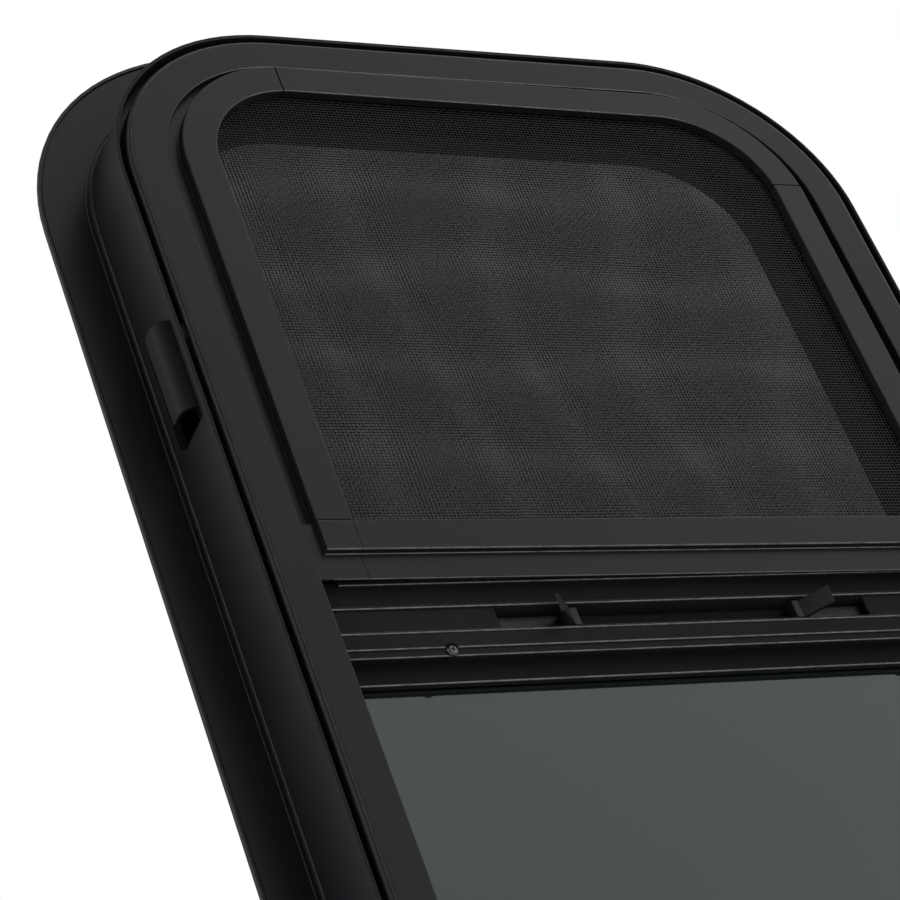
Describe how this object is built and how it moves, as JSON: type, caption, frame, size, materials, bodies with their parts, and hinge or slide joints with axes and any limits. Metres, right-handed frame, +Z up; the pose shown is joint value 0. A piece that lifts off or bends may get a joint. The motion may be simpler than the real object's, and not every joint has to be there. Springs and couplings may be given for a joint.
{
  "type": "caravan window",
  "caption": "Rounded vertical sliding caravan window with an outer flange, a fixed lower pane, an upper sash with finger latches and an insect screen.",
  "frame": {"origin": "on the wall-side face of the outer flange, in the middle of its bottom strip, 10.75 mm below the barrel", "axes": "+X to the right seen from inside the vehicle, +Y outwards through the wall, +Z up along the window's height"},
  "size_m": [0.381, 0.0372, 0.635],
  "materials": {
    "black_frame": "satin powder coat",
    "tinted_glass": "grey-green tint",
    "seal": "matt",
    "pile": "brushed pile",
    "latch_metal": "satin",
    "screw": "bright zinc",
    "insect_mesh": "coated glass fibre yarn"
  },
  "bodies": {
    "root": {"exterior_flange": "black_frame", "barrel": "black_frame", "face_ring": "black_frame", "side_tab_left": "black_frame", "side_tab_right": "black_frame", "glass_stop": "black_frame", "fixed_rail": "black_frame", "sash_frame": "black_frame", "sash_rail": "black_frame", "screen_left_leg": "black_frame", "screen_top_bar": "black_frame", "screen_right_leg": "black_frame", "screen_corner_left": "black_frame", "screen_corner_right": "black_frame", "screen_bottom_bar": "black_frame", "fixed_glass": "tinted_glass", "sash_glass": "tinted_glass", "fixed_glass_seal": "seal", "sash_glass_seal": "seal", "screen_spline": "seal", "meeting_weatherstrip": "pile", "latch_keeper_left": "latch_metal", "latch_keeper_right": "latch_metal", "rail_screw_left": "screw", "rail_screw_right": "screw", "screen_mesh": "insect_mesh"},
    "latch_left": {"latch_grip_left": "black_frame", "latch_bolt_left": "latch_metal"},
    "latch_right": {"latch_grip_right": "black_frame", "latch_bolt_right": "latch_metal"}
  },
  "joints": [
    {"name": "latch_left_slide", "type": "slide", "parent": "root", "child": "latch_left", "axis": [1, 0, 0], "range_m": [0, 0.01], "stiffness_N_per_m": 300, "springref_m": -0.006},
    {"name": "latch_right_slide", "type": "slide", "parent": "root", "child": "latch_right", "axis": [-1, 0, 0], "range_m": [0, 0.01], "stiffness_N_per_m": 300, "springref_m": -0.006}
  ]
}
